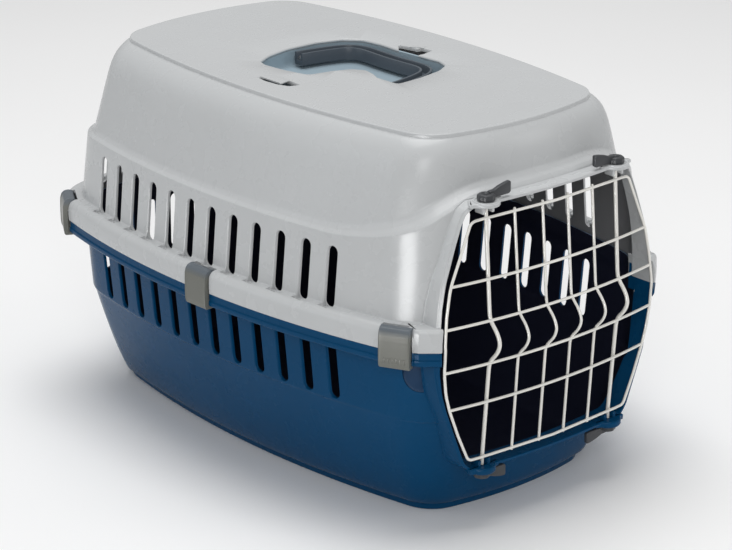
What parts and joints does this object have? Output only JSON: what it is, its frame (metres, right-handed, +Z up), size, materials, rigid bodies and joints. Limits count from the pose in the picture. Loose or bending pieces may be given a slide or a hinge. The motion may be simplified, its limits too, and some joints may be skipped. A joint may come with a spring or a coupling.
{
  "type": "pet transport carrier",
  "caption": "Two-part plastic carrier for a small animal: blue tray, light grey vented hood, wire front door, thumb latches, rim clips and a folding handle.",
  "frame": {"origin": "centre of the footprint's bounding box, on the floor", "axes": "+Z up, door facing -Y, length along Y, width along X"},
  "size_m": [0.3248, 0.4746, 0.2939],
  "materials": {
    "tray": "satin",
    "hood": "satin",
    "wire": "gloss",
    "latch": "satin",
    "clip": "satin",
    "pin": "plain",
    "handle": "satin"
  },
  "bodies": {
    "shell": {"base_tray": "tray", "hood": "hood", "clip_pin_front_left": "pin", "clip_pin_mid_left": "pin", "clip_pin_rear_left": "pin", "clip_pin_front_right": "pin", "clip_pin_mid_right": "pin", "clip_pin_rear_right": "pin", "handle_pin_front": "pin", "handle_pin_rear": "pin"},
    "door": {"door_frame": "wire", "door_bar_1": "wire", "door_bar_2": "wire", "door_bar_3": "wire", "door_bar_4": "wire", "door_upright_1": "wire", "door_upright_2": "wire", "door_upright_3": "wire", "door_upright_4": "wire", "door_rod_left": "wire", "door_rod_right": "wire"},
    "latch_top_left": {"latch_top_left": "latch"},
    "latch_top_right": {"latch_top_right": "latch"},
    "latch_bottom_left": {"latch_bottom_left": "latch"},
    "latch_bottom_right": {"latch_bottom_right": "latch"},
    "clip_front_left": {"clip_front_left": "clip"},
    "clip_mid_left": {"clip_mid_left": "clip"},
    "clip_rear_left": {"clip_rear_left": "clip"},
    "clip_front_right": {"clip_front_right": "clip"},
    "clip_mid_right": {"clip_mid_right": "clip"},
    "clip_rear_right": {"clip_rear_right": "clip"},
    "handle": {"handle": "handle"}
  },
  "joints": [
    {"name": "door_hinge", "type": "hinge", "parent": "shell", "child": "door", "pos_m": [-0.0655, -0.2153, 0.147], "axis": [0, 0, -1], "range_deg": [0, 105]},
    {"name": "latch_top_left_turn", "type": "hinge", "parent": "shell", "child": "latch_top_left", "pos_m": [-0.0655, -0.2153, 0.2525], "axis": [0, 0, -1], "range_deg": [0, 90]},
    {"name": "latch_top_right_turn", "type": "hinge", "parent": "shell", "child": "latch_top_right", "pos_m": [0.0655, -0.2153, 0.2525], "axis": [0, 0, 1], "range_deg": [0, 90]},
    {"name": "latch_bottom_left_turn", "type": "hinge", "parent": "shell", "child": "latch_bottom_left", "pos_m": [-0.0655, -0.2153, 0.042], "axis": [0, 0, -1], "range_deg": [0, 90]},
    {"name": "latch_bottom_right_turn", "type": "hinge", "parent": "shell", "child": "latch_bottom_right", "pos_m": [0.0655, -0.2153, 0.042], "axis": [0, 0, 1], "range_deg": [0, 90]},
    {"name": "clip_front_right_swing", "type": "hinge", "parent": "shell", "child": "clip_front_right", "pos_m": [0.13739, -0.15621, 0.1608], "axis": [-0.2113, -0.9774, 0], "range_deg": [0, 100]},
    {"name": "clip_front_left_swing", "type": "hinge", "parent": "shell", "child": "clip_front_left", "pos_m": [-0.12777, -0.1916, 0.1608], "axis": [-0.454, 0.891, 0], "range_deg": [0, 100]},
    {"name": "clip_mid_right_swing", "type": "hinge", "parent": "shell", "child": "clip_mid_right", "pos_m": [0.15525, -0.00301, 0.1608], "axis": [-0.0192, -0.9998, 0], "range_deg": [0, 100]},
    {"name": "clip_mid_left_swing", "type": "hinge", "parent": "shell", "child": "clip_mid_left", "pos_m": [-0.15525, -0.00301, 0.1608], "axis": [-0.0192, 0.9998, 0], "range_deg": [0, 100]},
    {"name": "clip_rear_right_swing", "type": "hinge", "parent": "shell", "child": "clip_rear_right", "pos_m": [0.13102, 0.19884, 0.1608], "axis": [0.5, -0.866, 0], "range_deg": [0, 100]},
    {"name": "clip_rear_left_swing", "type": "hinge", "parent": "shell", "child": "clip_rear_left", "pos_m": [-0.13102, 0.19884, 0.1608], "axis": [0.5, 0.866, 0], "range_deg": [0, 100]},
    {"name": "handle_fold", "type": "hinge", "parent": "shell", "child": "handle", "pos_m": [-0.004, 0.0023, 0.2846], "axis": [0, -1, 0], "range_deg": [0, 90]}
  ]
}
